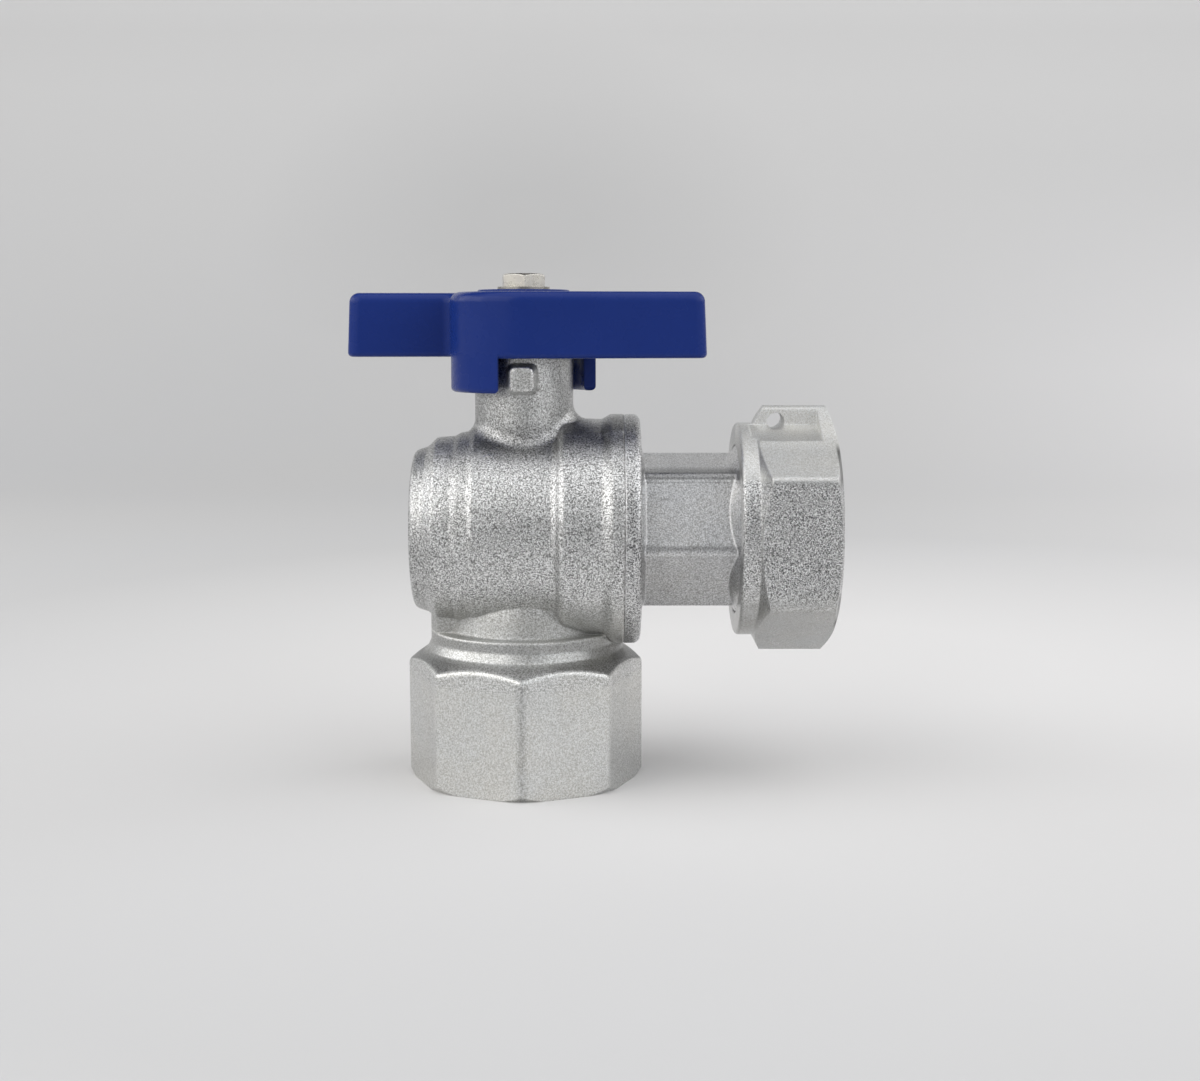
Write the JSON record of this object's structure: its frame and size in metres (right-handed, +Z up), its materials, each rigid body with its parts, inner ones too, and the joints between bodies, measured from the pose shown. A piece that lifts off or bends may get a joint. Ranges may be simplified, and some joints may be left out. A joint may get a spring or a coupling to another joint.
{
  "type": "angle ball valve",
  "caption": "Angle ball valve for a water meter: threaded octagon inlet below, stepped barrel, quarter-turn handle with offset wings, swivel union nut at the side outlet.",
  "frame": {"origin": "centre of the inlet socket at its bottom face", "axes": "+Z up along the stem and the inlet thread, +X out of the union nut, -Y to the front of the picture; the handle is drawn open, with its wings along X"},
  "size_m": [0.0843, 0.0408, 0.0874],
  "materials": {
    "nickel_brass": "nickel-plated brass casting, fine sand-blasted grain",
    "nut_brass": "nickel-plated forged brass, grained flats",
    "chromed_ball": "hard chromed, mirror smooth",
    "stem_brass": "turned brass, bare",
    "ptfe": "white fluoroplastic, smooth and matt",
    "seal_rubber": "black moulded rubber",
    "blue_paint": "dark blue powder paint, smooth gloss",
    "plated_steel": "zinc-plated steel, slightly yellow",
    "spring_steel": "drawn spring wire"
  },
  "bodies": {
    "housing": {"valve_body": "nickel_brass", "end_connector": "nickel_brass", "rear_seat": "ptfe", "outlet_seat": "ptfe", "body_joint_o_ring": "seal_rubber", "stem_thrust_washer": "ptfe", "nut_retaining_ring": "spring_steel", "union_gasket": "seal_rubber"},
    "lever": {"handle": "blue_paint", "handle_washer": "plated_steel", "handle_screw": "plated_steel", "stem": "stem_brass", "stem_o_ring_lower": "seal_rubber", "stem_o_ring_upper": "seal_rubber"},
    "ball_plug": {"ball": "chromed_ball"},
    "swivel_nut": {"union_nut": "nut_brass"}
  },
  "joints": [
    {"name": "handle_turn", "type": "hinge", "parent": "housing", "child": "lever", "pos_m": [0, 0, 0.0655], "axis": [0, 0, -1], "range_deg": [0, 90]},
    {"name": "ball_turn", "type": "hinge", "parent": "housing", "child": "ball_plug", "pos_m": [0, 0, 0.0435], "axis": [0, 0, -1], "range_deg": [0, 90]},
    {"name": "nut_spin", "type": "hinge", "parent": "housing", "child": "swivel_nut", "pos_m": [0.0391, 0, 0.0435], "axis": [1, 0, 0], "continuous": true}
  ],
  "couplings": [
    {"joint": "ball_turn", "follows": "handle_turn", "ratio": 1}
  ]
}
